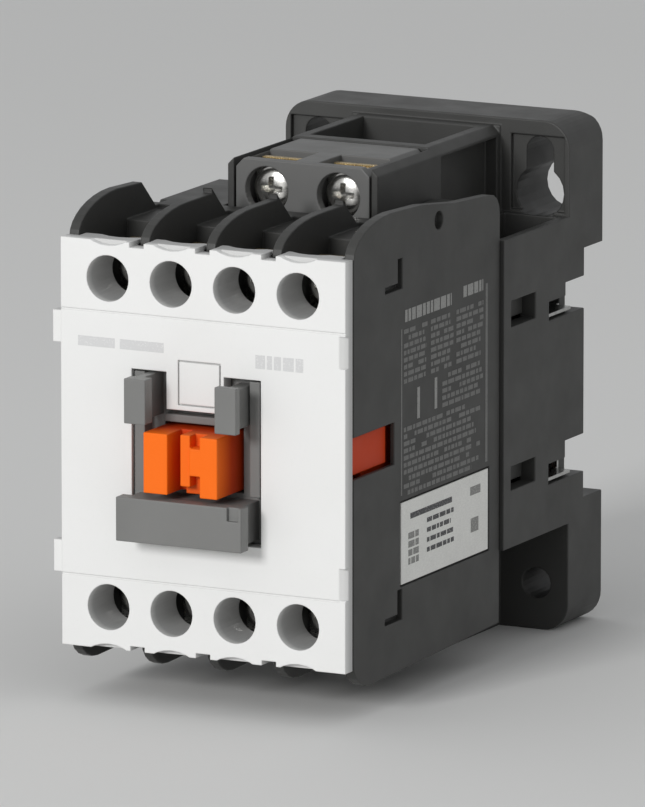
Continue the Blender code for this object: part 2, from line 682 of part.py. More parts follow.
def magnet():
    """Fixed core, shading rings, armature and the pin that holds the armature."""
    core = e_core(YOKE_Y, POLE_FACE)
    slots = []
    slot_inner, slot_outer = SHADING_SLOT_X
    ring_x = (slot_inner + GAP, LEG_OUTER[1] + 1.1)
    hollow_x = (slot_outer - GAP, LEG_OUTER[1] + GAP)
    for side, name in ((1, "right"), (-1, "left")):
        slot_x = ordered(side * slot_inner, side * slot_outer)
        slots.append(box(slot_x, (POLE_FACE - PAST, POLE_FACE + 2.1), centred(0.0, STACK_HALF + PAST)))
        ring_half = STACK_HALF + 1.1
        ring_span = ordered(side * ring_x[0], side * ring_x[1])
        ring = box(ring_span, (POLE_FACE + 0.2, POLE_FACE + 1.7), centred(0.0, ring_half))
        hollow_span = ordered(side * hollow_x[0], side * hollow_x[1])
        cut(ring, box(hollow_span, (POLE_FACE - PAST, POLE_FACE + 3.0), centred(0.0, STACK_HALF + GAP)))
        node(f"shading_ring_{name}", ring, COPPER)
    cut(core, *slots)
    node("fixed_core", core, LAMINATION)
    armature = e_core(ARMATURE_YOKE, ARMATURE_BACK)
    cut(armature, rod("Z", (0.0, PIN_Y), PIN_BORE, centred(0.0, 9.0), 12))
    node("armature", armature, LAMINATION)
    node("armature_pin", rod("Z", (0.0, PIN_Y), PIN_RADIUS, centred(0.0, 7.7), 12), NICKEL)


def corner_chamfers(half_width, top, end):
    """Tools that take the two upper corners off a block along Y, from the head's face to an end."""
    span = (HEAD_FACE - PAST, end)
    return [rod("Y", (side * half_width, top), COIL_CORNER, span, 4) for side in (1, -1)]


def coil_bobbin():
    """Bobbin around the centre leg, with its neck and the terminal head above."""
    flange_x, flange_z = centred(0.0, 11.4), centred(0.0, 14.0)
    body = box(flange_x, COIL_FLANGE_Y, flange_z)
    rear = box(flange_x, (-11.6, -10.2), flange_z)
    tube = box(centred(0.0, 5.9), (-27.0, -11.0), centred(0.0, 7.4))
    neck = box(centred(0.0, NECK_HALF), COIL_FLANGE_Y, (13.0, 21.0))
    head = box(centred(0.0, COIL_HEAD_X), (HEAD_FACE, COIL_FLANGE_Y[1]), COIL_HEAD_Z)
    fuse(body, rear, tube, neck, head)
    tools = [box(centred(0.0, LEG_CENTRE + GAP), (-30.0, -9.0), centred(0.0, STACK_HALF + GAP))]
    for x in COIL_SCREW_X:
        tools.append(rod("Y", (x, COIL_SCREW_Z), 3.35, (HEAD_FACE - PAST, -42.0), 32))
        tools.append(box(centred(x, CLAMP_HALF + GAP), (-42.5, -35.5), (26.6, OUTSIDE)))
    tools += corner_chamfers(COIL_HEAD_X, COIL_HEAD_Z[1], COIL_FLANGE_Y[1] + PAST)
    cut(body, *tools)
    return node("coil_bobbin", body, GREY_PLASTIC)


def coil_winding():
    """Wound copper between the bobbin's flanges."""
    outer = box(centred(0.0, 11.0), (-26.0, -11.9), centred(0.0, 13.2))
    corners = [
        box(centred(x, 1.6), (-27.0, -11.0), centred(z, 1.6)) for x in (-11.8, 11.8) for z in (-14.0, 14.0)
    ]
    hollow = box(centred(0.0, 6.2), (-27.0, -11.0), centred(0.0, 7.7))
    cut(outer, hollow, *corners)
    return node("coil_winding", outer, WIRE_WINDING)


def coil_terminals():
    """The two coil terminals: plate, clamp and screw."""
    plate_y = (-38.6, -37.6)
    clamp_y = (-40.2, -39.1)
    head_y = (-42.7, -40.5)
    shaft_end = -35.9
    for x, name in zip(COIL_SCREW_X, ("left", "right")):
        width = centred(x, CLAMP_HALF - 0.1)
        plate = box(width, plate_y, (27.0, COIL_HEAD_Z[1] - 0.6))
        foot = box(width, (plate_y[0], shaft_end), (27.0, 28.0))
        fuse(plate, foot)
        cut(plate, rod("Y", (x, COIL_SCREW_Z), SHAFT_HOLE, (plate_y[0] - PAST, plate_y[1] + PAST), 12))
        node(f"coil_terminal_{name}", plate, BRASS)
        clamp_washer(f"coil_clamp_{name}", x, COIL_SCREW_Z, clamp_y)
        terminal_screw(f"coil_screw_{name}", x, COIL_SCREW_Z, head_y, shaft_end)


def base_outline():
    """Side view of the base: tub, ears and the rail groove between them."""
    return [
        (SEAM, BASE_TOP),
        (SEAM, BASE_BOTTOM),
        (EAR_FRONT, BASE_BOTTOM),
        (EAR_FRONT, -TOP),
        (BACK - 1.0, -TOP),
        (BACK, -TOP + 1.0),
        (BACK, -EAR_INNER),
        (0.0, -EAR_INNER),
        (0.0, EAR_INNER),
        (BACK, EAR_INNER),
        (BACK, TOP - 1.0),
        (BACK - 1.0, TOP),
        (EAR_FRONT, TOP),
        (EAR_FRONT, BASE_TOP),
    ]


def mounting_holes():
    """Keyholes in the upper ear and round holes in the lower one."""
    tools = []
    through = (EAR_FRONT - PAST, BACK + PAST)
    slot_end, wide_end = MOUNT_Z + M4_CLEARANCE, 26.3
    for side in (1, -1):
        x = side * SCREW_SPACING_X / 2
        tools.append(rod("Y", (x, slot_end), M4_SLOT, through))
        tools.append(box(centred(x, M4_SLOT), through, (wide_end + 0.7, slot_end)))
        tools.append(rod("Y", (x, wide_end), M4_HEAD, through))
        tools.append(rod("Y", (x, -MOUNT_Z), M4_CLEARANCE, through))
    return tools


def ear_corners():
    """Tools that round the outer corners of the ears and sink the faces around the keyholes."""
    tools = []
    through = (EAR_FRONT - PAST, BACK + PAST)
    for side in (1, -1):
        centre = BASE_HALF - EAR_CORNER
        for end in (1, -1):
            across = ordered(side * centre, side * (BASE_HALF + PAST))
            corner = box(across, through, ordered(end * (TOP - EAR_CORNER), end * (TOP + PAST)))
            round_part = rod("Y", (side * centre, end * (TOP - EAR_CORNER)), EAR_CORNER, (-8.0, 9.0), 32)
            tools.append(cut(corner, round_part))
        face_x = ordered(side * (CRADLE_X + 1.6), side * (BASE_HALF - 0.9))
        tools.append(box(face_x, (EAR_FRONT - PAST, EAR_FRONT + 0.8), (BASE_TOP + 0.4, TOP - 2.2)))
    return tools


def side_openings():
    """Snap windows and the stepped notches that show the core saddle's ends."""
    tools = []
    for side in (1, -1):
        skin = ordered(side * (BASE_CAVITY_X - 0.5), side * (BASE_HALF + PAST))
        for low, high in ((10.6, 14.3), (-12.8, -9.4)):
            tools.append(box(skin, (-23.6, -15.8), (low, high)))
        for low, step, high in ((SADDLE_Z[1] - 0.8, 12.1, 14.0), (SADDLE_Z[0] - 0.3, -11.2, -8.8)):
            tools.append(box(skin, (-11.4, -5.6), (low, step)))
            tools.append(box(skin, (-6.0, 1.0), (low, high)))
    return tools


def base_housing():
    """Rear housing: tub for the magnet, cradle of the coil head, ears and rail hook."""
    body = prism(base_outline(), (-BASE_HALF, BASE_HALF))
    tower = box(centred(0.0, CRADLE_X), (SEAM + GAP, BACK - 0.3), (BASE_TOP - 1.0, CRADLE_TOP))
    cradle = box(centred(0.0, CRADLE_X), (HEAD_FACE, SEAM + 1.0), (18.6, CRADLE_TOP))
    foot = box(centred(0.0, CRADLE_X), (SEAM + 2.0, BACK - 0.3), (-TOP, BASE_BOTTOM + 1.0))
    hook = box((-16.0, 16.0), (1.5, 4.5), (16.2, 18.6))
    fuse(body, tower, cradle, foot, hook)
    head_room = box(centred(0.0, COIL_HEAD_X + GAP), (HEAD_FACE - PAST, SEAM), (19.6, OUTSIDE))
    neck_room = box(centred(0.0, NECK_HALF + 0.4), (-28.0, SEAM + 0.4), (12.0, 20.0))
    tub = box(
        centred(0.0, BASE_CAVITY_X), (SEAM - 1.0, BASE_CAVITY_BACK), (BASE_BOTTOM + 2.0, BASE_TOP - 6.8)
    )
    wire_way = box(centred(0.0, 9.0), (SEAM + 2.2, -7.0), (25.0, OUTSIDE))
    foot_hollow = box(centred(0.0, 10.6), (SEAM + 3.6, EAR_FRONT), (-OUTSIDE, BASE_BOTTOM - 1.4))
    pockets = []
    for side in (1, -1):
        tower_side = ordered(side * 9.8, side * (CRADLE_X + PAST))
        pockets.append(box(tower_side, (-24.0, EAR_FRONT - 1.2), (BASE_TOP + 0.4, CRADLE_TOP - 1.6)))
        tub_top = ordered(side * (CRADLE_X + 1.2), side * (BASE_HALF - 1.3))
        pockets.append(box(tub_top, (-24.5, EAR_FRONT - 1.2), (18.2, BASE_TOP + PAST)))
    cut(body, head_room, neck_room, tub, wire_way, foot_hollow, *pockets)
    cut(body, *corner_chamfers(CRADLE_X, CRADLE_TOP, EAR_FRONT - GAP))
    cut(body, *ear_corners())
    cut(body, *mounting_holes())
    cut(body, *side_openings())
    channel_y = (CLIP_Y[0] - GAP, CLIP_Y[1] + GAP)
    channel = box(centred(0.0, CLIP_HALF_WIDTH + GAP), channel_y, (-OUTSIDE, -EAR_INNER + PAST))
    cut(body, channel)
    stop = box(centred(0.0, 2.6), (CLIP_Y[0] - 1.0, CLIP_Y[1] + 0.6), (-33.2, CLIP_SPRING_Z[0] - GAP))
    fuse(body, stop)
    return node("base_housing", body, DARK_PLASTIC)


def core_saddle():
    """Steel channel that holds the fixed core; its ends lie in the notches of the base."""
    sheet = 0.5
    web_y = (-2.4 - sheet, -2.4)
    low, high = SADDLE_Z
    width = centred(0.0, BASE_CAVITY_X - GAP)
    web = box(width, web_y, SADDLE_Z)
    flanges = []
    for height in ((high - sheet, high), (low, low + sheet)):
        flanges.append(box(width, (-9.9, web_y[1]), height))
        for side in (1, -1):
            flanges.append(box(ordered(side * 12.0, side * (BASE_HALF - 0.5)), (-11.0, -3.4), height))
    fuse(web, *flanges)
    return node("core_saddle", web, SPRING_STEEL)


def damping_pad():
    """Rubber pad between the fixed core and the saddle."""
    return node("damping_pad", box(centred(0.0, 15.0), (-3.9, -3.2), centred(0.0, 5.5)), RUBBER)


def return_springs():
    """Two springs that push the carrier forward when the coil is off."""
    span = (COLUMN_Y[1] + GAP, COIL_FLANGE_Y[0] - GAP)
    for name, side in (("upper", 1), ("lower", -1)):
        coil_spring(f"return_spring_{name}", "Y", (0.0, side * RETURN_SPRING_Z), 2.5, 0.35, span, 6)


def din_clip():
    """Sliding clip that catches the rail's lower edge, with its pull slot at the bottom."""
    body = box(centred(0.0, CLIP_HALF_WIDTH), CLIP_Y, (-36.4, -16.0))
    nose = prism(
        [(CLIP_Y[0] - 0.5, -15.0), (CLIP_Y[0] - 0.5, -17.5), (CLIP_Y[0] + 3.0, -14.0)],
        (-CLIP_HALF_WIDTH - 1.0, CLIP_HALF_WIDTH + 1.0),
    )
    window_y = (CLIP_Y[0] - PAST, CLIP_Y[1] + PAST)
    spring_window = box(centred(0.0, 3.0), window_y, (-33.7, CLIP_SPRING_Z[1] + GAP))
    pull_slot = box(centred(0.0, 4.5), (CLIP_Y[0] + 0.9, CLIP_Y[1] + PAST), (-35.8, -34.6))
    cut(body, nose, spring_window, pull_slot)
    node("din_clip", body, DARK_PLASTIC)
    middle = sum(CLIP_Y) / 2
    coil_spring("din_clip_spring", "Z", (0.0, middle), 1.15, 0.25, CLIP_SPRING_Z, 6)


def nameplate():
    """Blank rating sticker in its pocket on the right side."""
    return node("nameplate", box((HALF - 0.25, HALF - 0.05), STICKER_Y, STICKER_Z), PAPER)


clear_scene()
main_housing()
front_cover()
marker_tag()
accessory_frame()
contact_carrier()
contacts()
terminals()
magnet()
coil_bobbin()
coil_winding()
coil_terminals()
return_springs()
base_housing()
core_saddle()
damping_pad()
din_clip()
nameplate()
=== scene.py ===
"""Looks of a four-pole DIN rail contactor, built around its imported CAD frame.

Lengths are in metres in the CAD frame: the front faces -Y, the rail runs along X and +Z is up. The CAD
nodes keep their shapes and get softened edges and materials. Springs, screws, the coil's winding and the
printed marks are fine pieces made here.
"""

import json
import math
import random

import bmesh
import bpy
from mathutils import Matrix, Vector


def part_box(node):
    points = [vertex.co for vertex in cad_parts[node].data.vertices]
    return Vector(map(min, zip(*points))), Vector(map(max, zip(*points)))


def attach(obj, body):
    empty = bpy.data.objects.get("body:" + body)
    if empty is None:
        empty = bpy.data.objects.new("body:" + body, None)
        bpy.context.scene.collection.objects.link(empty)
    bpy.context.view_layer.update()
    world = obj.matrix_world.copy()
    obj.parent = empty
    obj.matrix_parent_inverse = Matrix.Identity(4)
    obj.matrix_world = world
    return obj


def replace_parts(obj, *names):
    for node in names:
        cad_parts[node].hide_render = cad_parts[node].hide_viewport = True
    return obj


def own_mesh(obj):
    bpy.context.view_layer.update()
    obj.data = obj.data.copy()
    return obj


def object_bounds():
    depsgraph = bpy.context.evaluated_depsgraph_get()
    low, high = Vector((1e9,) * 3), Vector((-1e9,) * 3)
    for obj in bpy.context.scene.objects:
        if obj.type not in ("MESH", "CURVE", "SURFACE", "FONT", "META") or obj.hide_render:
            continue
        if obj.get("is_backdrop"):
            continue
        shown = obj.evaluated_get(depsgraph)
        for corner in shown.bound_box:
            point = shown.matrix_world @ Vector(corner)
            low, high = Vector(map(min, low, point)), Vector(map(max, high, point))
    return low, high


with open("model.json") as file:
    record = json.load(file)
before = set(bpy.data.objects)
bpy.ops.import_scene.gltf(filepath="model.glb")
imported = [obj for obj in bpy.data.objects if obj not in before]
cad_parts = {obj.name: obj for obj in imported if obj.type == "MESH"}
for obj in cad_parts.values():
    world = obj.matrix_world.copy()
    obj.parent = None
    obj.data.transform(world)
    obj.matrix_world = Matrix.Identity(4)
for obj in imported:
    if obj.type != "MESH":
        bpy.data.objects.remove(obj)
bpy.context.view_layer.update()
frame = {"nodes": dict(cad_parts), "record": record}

MM = 0.001
TURN = 2.0 * math.pi
AXIS_Y, AXIS_Z = 1, 2
POLES = range(1, 5)

# Camera: the direction it stands in, how far away, its lens in millimetres and how far it sees
VIEW_AZIMUTH = 26.8
VIEW_ELEVATION = 11.2
VIEW_DISTANCE = 1.76
VIEW_LENS = 560.0
VIEW_REACH = 20.0

# Light: an even surround, and one soft lamp to the viewer's left
SURROUND = 0.50
SURROUND_COLOUR = (0.98, 0.99, 1.0)
KEY_AZIMUTH = -8.0
KEY_ELEVATION = 20.0
KEY_DISTANCE = 1.5
KEY_SIZE = 0.35
KEY_POWER = 12.0
FLOOR_SIZE = 12.0

# Colours, in linear light
DARK = (0.043, 0.043, 0.041)
DARK_DUST = (0.085, 0.085, 0.080)
WHITE = (0.80, 0.80, 0.79)
WHITE_DUST = (0.70, 0.70, 0.68)
# painted shade: the cover's colour deep in its holes, darker to stand in for the shade there
HOLE_PAINTED_SHADE = (0.52, 0.52, 0.515)
GREY = (0.175, 0.175, 0.170)
GREY_DUST = (0.26, 0.26, 0.25)
# painted shade: the grey plastic's colour towards the rear, darker to stand in for the weaker light there
GREY_PAINTED_SHADE = (0.130, 0.130, 0.127)
ORANGE = (0.93, 0.155, 0.005)
ORANGE_DUST = (0.96, 0.21, 0.02)
# painted shade: the orange's colour deep in grooves and along sides, darker to stand in for the shade
# there
ORANGE_PAINTED_SHADE = (0.60, 0.050, 0.006)
NICKEL = (0.70, 0.69, 0.66)
STEEL = (0.50, 0.50, 0.49)
BRASS = (0.74, 0.55, 0.26)
COPPER = (0.72, 0.37, 0.22)
ENAMEL = (0.33, 0.085, 0.035)
SHEET_DULL = (0.24, 0.24, 0.25)
SHEET_BRIGHT = (0.42, 0.42, 0.42)
SHEET_GAP = (0.05, 0.045, 0.04)
RUBBER = (0.016, 0.016, 0.016)
RUBBER_DUST = (0.035, 0.035, 0.034)
PAPER = (0.80, 0.80, 0.77)
PRINT_BRIGHT = (0.32, 0.32, 0.31)
PRINT_DIM = (0.17, 0.17, 0.165)
PRINT_DARK = (0.06, 0.06, 0.065)
PRINT_GREY = (0.26, 0.26, 0.25)
PRINT_FAINT = (0.62, 0.62, 0.62)
FLOOR = (0.78, 0.78, 0.77)

# How a pattern is stretched: a share below one draws it out along that axis
EVEN = (1.0, 1.0, 1.0)
DRAWN_X = (0.3, 1.0, 1.0)
DRAWN_Y = (1.0, 0.3, 1.0)
DRAWN_Z = (1.0, 1.0, 0.2)
GROUND_X = (0.2, 1.0, 3.0)

# Terminal screws, and the cross sunk into each head
SCREW_SIDES = 48
SCREW_HEAD = 2.2 * MM
SCREW_DOME = 0.9 * MM
SCREW_NECK = 1.45 * MM
DOME_STEPS = 12
THREAD_STEPS = 40
THREAD_PITCH = 0.6 * MM
THREAD_HEIGHT = 0.22 * MM
CROSS_HALF_WIDTH = 0.42 * MM
CROSS_HALF_LENGTH = 1.75 * MM
SLIVER = 0.004 * MM

# Spring wires; closing is how nearly flat the end turns lie
WIRE_SIDES = 10
WIRE_STEPS = 32
SPRING_CLOSING = 0.75

# Coil winding
WINDING_WIRE = 0.47 * MM
WINDING_GROOVE = 0.28 * WINDING_WIRE
WINDING_WALL = 4.7 * MM
WINDING_CORNER = 2.4 * MM
WINDING_INNER_CORNER = 0.3 * MM
WINDING_SAMPLES = 6
CORNER_STEPS = 6

# Printing: words of a row are between the two lengths
INK_THICKNESS = 0.025 * MM
WORD_LENGTH = (0.6 * MM, 1.9 * MM)
WORD_GAP = 0.3 * MM
SMALL_PRINT = {"pitch": 1.0 * MM, "height": 0.62 * MM}

# How far the moulded edges of the larger pieces are rounded
EDGE_RADIUS = {
    "main_housing": 0.12 * MM,
    "base_housing": 0.15 * MM,
    "front_cover": 0.07 * MM,
    "accessory_frame": 0.12 * MM,
    "contact_carrier": 0.12 * MM,
    "coil_bobbin": 0.12 * MM,
    "marker_tag": 0.05 * MM,
    "din_clip": 0.12 * MM,
    "core_saddle": 0.05 * MM,
}
EDGE_SEGMENTS = 2
SAME_PLACE = 0.002 * MM
SAME_PLANE = math.radians(0.5)
SHARP = math.radians(40.0)


class Graph:
    """A material's node tree, built with short calls."""

    def __init__(self, name):
        self.material = bpy.data.materials.new(name)
        self.material.use_nodes = True
        self.tree = self.material.node_tree
        self.shader = self.tree.nodes["Principled BSDF"]
        self.place = self.add("ShaderNodeTexCoord").outputs["Object"]
        self.surface = self.add("ShaderNodeNewGeometry").outputs["Normal"]

    def add(self, kind, **settings):
        """A new node of a kind, with its settings."""
        made = self.tree.nodes.new(kind)
        for key, value in settings.items():
            setattr(made, key, value)
        return made

    def feed(self, socket, value):
        """Link an output into a socket, or set the socket's own value."""
        if isinstance(value, bpy.types.NodeSocket):
            self.tree.links.new(value, socket)
        elif isinstance(value, tuple) and len(value) == 3 and socket.type == "RGBA":
            socket.default_value = (*value, 1.0)
        else:
            socket.default_value = value

    def set(self, **values):
        """Feed the Principled shader's inputs; an underscore stands for a space."""
        for key, value in values.items():
            self.feed(self.shader.inputs[key.replace("_", " ")], value)

    def stretched(self, stretch):
        """Places, scaled along each axis."""
        mapping = self.add("ShaderNodeMapping")
        self.feed(mapping.inputs["Vector"], self.place)
        self.feed(mapping.inputs["Scale"], stretch)
        return mapping.outputs["Vector"]

    def depth(self):
        """The distance of a place behind the origin, along Y."""
        split = self.add("ShaderNodeSeparateXYZ")
        self.feed(split.inputs[0], self.place)
        return split.outputs["Y"]

    def noise(self, feature, detail=3.0, stretch=EVEN):
        """Noise whose lumps are about one feature size apart."""
        texture = self.add("ShaderNodeTexNoise")
        self.feed(texture.inputs["Vector"], self.stretched(stretch))
        self.feed(texture.inputs["Scale"], 1.0 / feature)
        self.feed(texture.inputs["Detail"], detail)
        return texture.outputs[0]

    def bands(self, pitch, axis):
        """Even bands across an axis, one per pitch."""
        texture = self.add("ShaderNodeTexWave", wave_type="BANDS", bands_direction=axis)
        self.feed(texture.inputs["Vector"], self.place)
        # a wave texture repeats every pi / 10 at scale 1
        self.feed(texture.inputs["Scale"], math.pi / 10.0 / pitch)
        return texture.outputs[1]

    def ramp(self, value, start, end, low=0.0, high=1.0):
        """Map start..end to low..high, without running past either."""
        mapped = self.add("ShaderNodeMapRange", clamp=True)
        limits = {"Value": value, "From Min": start, "From Max": end, "To Min": low, "To Max": high}
        for key, number in limits.items():
            self.feed(mapped.inputs[key], number)
        return mapped.outputs[0]

    def spread(self, noise, low=0.0, high=1.0):
        """Map the values that noise mostly keeps to, 0.3 to 0.7, to low..high."""
        return self.ramp(noise, 0.3, 0.7, low, high)

    def mix(self, share, first, second):
        """A colour between two, by the share of the second."""
        mixed = self.add("ShaderNodeMix", data_type="RGBA")
        self.feed(mixed.inputs[0], share)
        self.feed(mixed.inputs[6], first)
        self.feed(mixed.inputs[7], second)
        return mixed.outputs[2]

    def reckon(self, operation, first, second):
        """Two numbers put together by an operation."""
        result = self.add("ShaderNodeMath", operation=operation)
        self.feed(result.inputs[0], first)
        self.feed(result.inputs[1], second)
        return result.outputs[0]

    def sum(self, first, second):
        return self.reckon("ADD", first, second)

    def product(self, first, second):
        return self.reckon("MULTIPLY", first, second)

    def rounded(self, radius):
        """The surface's normal with its edges rounded to a radius."""
        bevel = self.add("ShaderNodeBevel", samples=4)
        self.feed(bevel.inputs["Radius"], radius)
        return bevel.outputs[0]

    def edges(self, rounded):
        """About one on edges and zero on flat stretches."""
        agreement = self.add("ShaderNodeVectorMath", operation="DOT_PRODUCT")
        self.feed(agreement.inputs[0], rounded)
        self.feed(agreement.inputs[1], self.surface)
        return self.ramp(agreement.outputs["Value"], 0.995, 0.80)

    def bump(self, height, depth, normal=None):
        """Relief from a height pattern; depth is its size at full height."""
        relief = self.add("ShaderNodeBump")
        self.feed(relief.inputs["Height"], height)
        self.feed(relief.inputs["Distance"], depth)
        if normal is not None:
            self.feed(relief.inputs["Normal"], normal)
        return relief.outputs[0]


def scaled(colour, share):
    """A colour made darker or lighter."""
    return tuple(part * share for part in colour)


def moulded(name, colour, dust, roughness, relief=0.008 * MM, specular=0.42, painted_shade=None):
    """Moulded plastic: fine spark-eroded grain, soft mottling, and edges rubbed a little lighter.

    A painted shade is (start, end, colour): this darker colour takes over between two depths behind the
    front, standing in for the shade there.
    """
    graph = Graph(name)
    rounded = graph.rounded(0.22 * MM)
    worn = graph.ramp(graph.noise(3.0 * MM), 0.45, 0.75)
    edge = graph.product(graph.edges(rounded), worn)
    mottle = graph.ramp(graph.noise(11.0 * MM, 4.0), 0.35, 0.7, 0.0, 0.16)
    speck = graph.ramp(graph.noise(0.35 * MM, 1.0), 0.62, 0.75, 0.0, 0.10)
    shade = graph.mix(graph.sum(mottle, speck), colour, dust)
    # painted shade: the colour darkens with depth behind the front
    if painted_shade:
        start, end, painted_shade_colour = painted_shade
        shade = graph.mix(graph.ramp(graph.depth(), start, end), shade, painted_shade_colour)
    graph.set(
        Base_Color=graph.mix(graph.product(edge, 0.45), shade, dust),
        Roughness=graph.spread(graph.noise(5.0 * MM, 5.0), roughness - 0.05, roughness + 0.07),
        Specular_IOR_Level=specular,
        Normal=graph.bump(graph.noise(0.16 * MM, 2.0), relief, rounded),
    )
    return graph.material


def polished_metal(name, colour, roughness, grain=EVEN):
    """Plated or drawn metal: fine marks along one direction, cloudy roughness and darker stains."""
    graph = Graph(name)
    rounded = graph.rounded(0.08 * MM)
    marks = graph.noise(0.12 * MM, 3.0, grain)
    cloud = graph.noise(1.6 * MM, 4.0)
    graph.set(
        Base_Color=graph.mix(graph.ramp(cloud, 0.42, 0.72, 0.0, 0.7), colour, scaled(colour, 0.6)),
        Metallic=1.0,
        Roughness=graph.spread(marks, roughness - 0.06, roughness + 0.08),
        Normal=graph.bump(marks, 0.008 * MM, rounded),
    )
    return graph.material


def laminations(name):
    """Ground edges of stacked core sheets: thin dark lines between bright, streaked steel."""
    graph = Graph(name)
    sheet = 0.5 * MM
    line = graph.ramp(graph.bands(sheet, "Z"), 0.0, 0.2)
    streak = graph.noise(0.25 * MM, 3.0, GROUND_X)
    steel = graph.mix(graph.spread(streak), SHEET_DULL, SHEET_BRIGHT)
    graph.set(
        Base_Color=graph.mix(line, SHEET_GAP, steel),
        Metallic=0.9,
        Roughness=graph.spread(streak, 0.34, 0.5),
        Normal=graph.bump(line, 0.03 * MM),
    )
    return graph.material


def enamelled_wire(name):
    """Lacquered copper wire with a slightly uneven lay."""
    graph = Graph(name)
    tone = graph.spread(graph.noise(2.2 * MM, 3.0))
    graph.set(
        Base_Color=graph.mix(tone, ENAMEL, scaled(ENAMEL, 1.6)),
        Metallic=0.55,
        Roughness=graph.spread(graph.noise(0.5 * MM), 0.22, 0.36),
        Coat_Weight=0.6,
        Coat_Roughness=0.15,
        Normal=graph.bump(graph.noise(0.3 * MM, 2.0), 0.01 * MM),
    )
    return graph.material


def soft_rubber(name):
    """Matt black rubber with a fine grain."""
    graph = Graph(name)
    grain = graph.noise(0.2 * MM, 4.0)
    graph.set(
        Base_Color=graph.mix(graph.spread(grain), RUBBER, RUBBER_DUST),
        Roughness=graph.spread(graph.noise(2.0 * MM), 0.66, 0.85),
        Normal=graph.bump(grain, 0.02 * MM),
    )
    return graph.material


def label_paper(name):
    """Satin label stock: faint fibres and a slightly grubby surface."""
    graph = Graph(name)
    fibre = graph.noise(0.18 * MM, 5.0, DRAWN_Y)
    grime = graph.ramp(graph.noise(4.0 * MM, 4.0), 0.4, 0.75, 0.0, 0.22)
    clean = graph.mix(graph.ramp(fibre, 0.35, 0.65), PAPER, scaled(PAPER, 1.1))
    graph.set(
        Base_Color=graph.mix(grime, clean, scaled(PAPER, 0.75)),
        Roughness=graph.spread(fibre, 0.42, 0.55),
        Normal=graph.bump(fibre, 0.006 * MM),
    )
    return graph.material


def ink(name, colour, base):
    """Pad-printed ink: a little thin and broken in places, so some of the surface shows through."""
    graph = Graph(name)
    gap = graph.ramp(graph.noise(0.22 * MM, 3.0), 0.56, 0.7, 0.0, 0.6)
    graph.set(
        Base_Color=graph.mix(gap, colour, base),
        Roughness=graph.spread(graph.noise(0.6 * MM), 0.45, 0.6),
        Normal=graph.bump(graph.noise(0.1 * MM), 0.004 * MM),
    )
    return graph.material


def pale_floor(name):
    """Matt studio floor with a very faint, wide tone."""
    graph = Graph(name)
    tone = graph.ramp(graph.noise(0.4, 3.0), 0.35, 0.65)
    graph.set(
        Base_Color=graph.mix(tone, FLOOR, scaled(FLOOR, 0.97)),
        Roughness=0.75,
        Specular_IOR_Level=0.2,
    )
    return graph.material


def make_materials():
    """Every finish by name; a CAD node's material slot names its own."""
    cover_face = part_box("front_cover")[0].y
    # painted shade: the white cover darkens deep in its holes, standing in for the shade there
    hole_painted_shade = (cover_face + 0.4 * MM, cover_face + 1.6 * MM, HOLE_PAINTED_SHADE)
    indicator_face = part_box("contact_carrier")[0].y
    # painted shade: the indicator's orange darkens deeper behind its front face, in its grooves and along
    # its sides, standing in for the shade there
    groove_painted_shade = (indicator_face + 0.3 * MM, indicator_face + 4.5 * MM, ORANGE_PAINTED_SHADE)
    # painted shade: the grey plastic darkens from the back of the accessory frame to the front of the coil
    # bobbin, standing in for the weaker light there
    rear_painted_shade = (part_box("accessory_frame")[1].y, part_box("coil_bobbin")[0].y, GREY_PAINTED_SHADE)
    return {
        "dark_housing": moulded("dark_housing", DARK, DARK_DUST, 0.46, 0.012 * MM),
        "white_cover": moulded("white_cover", WHITE, WHITE_DUST, 0.36, 0.006 * MM, painted_shade=hole_painted_shade),
        "grey_frame": moulded("grey_frame", GREY, GREY_DUST, 0.42, painted_shade=rear_painted_shade),
        "orange_carrier": moulded("orange_carrier", ORANGE, ORANGE_DUST, 0.45, specular=0.2, painted_shade=groove_painted_shade),
        "terminal_screw": polished_metal("terminal_screw", NICKEL, 0.20),
        "terminal_clamp": polished_metal("terminal_clamp", NICKEL, 0.28, DRAWN_X),
        "terminal_strip": polished_metal("terminal_strip", BRASS, 0.26, DRAWN_Z),
        "contact_bridge": polished_metal("contact_bridge", COPPER, 0.28, DRAWN_Z),
        "coil_spring": polished_metal("coil_spring", STEEL, 0.26),
        "lamination": laminations("lamination"),
        "shading_copper": polished_metal("shading_copper", COPPER, 0.24),
        "winding": enamelled_wire("winding"),
        "pin_steel": polished_metal("pin_steel", NICKEL, 0.22, DRAWN_Z),
        "pad_rubber": soft_rubber("pad_rubber"),
        "label_paper": label_paper("label_paper"),
        "print_bright": ink("print_bright", PRINT_BRIGHT, DARK),
        "print_dim": ink("print_dim", PRINT_DIM, DARK),
        "print_dark": ink("print_dark", PRINT_DARK, PAPER),
        "print_grey": ink("print_grey", PRINT_GREY, PAPER),
        "print_faint": ink("print_faint", PRINT_FAINT, WHITE),
    }


def dress_frame(materials):
    """Give each CAD node its material and softened edges."""
    for part in frame["record"]["subparts"]:
        shown = frame["nodes"][part["node"]]
        shown.data.materials.clear()
        shown.data.materials.append(materials[part["material_slot"]])
        if part["node"] in EDGE_RADIUS:
            soften(shown, EDGE_RADIUS[part["node"]])


def soften(shown, radius):
    """Round a node's edges with modifiers, which leave its own mesh as it is."""
    weld = shown.modifiers.new("weld", "WELD")
    weld.merge_threshold = SAME_PLACE
    flat = shown.modifiers.new("flat", "DECIMATE")
    flat.decimate_type = "DISSOLVE"
    flat.angle_limit = SAME_PLANE
    edge = shown.modifiers.new("edge", "BEVEL")
    edge.width = radius
    edge.segments = EDGE_SEGMENTS
    edge.angle_limit = SHARP
    edge.use_clamp_overlap = False
    smooth = shown.modifiers.new("smooth", "WEIGHTED_NORMAL")
    smooth.keep_sharp = True


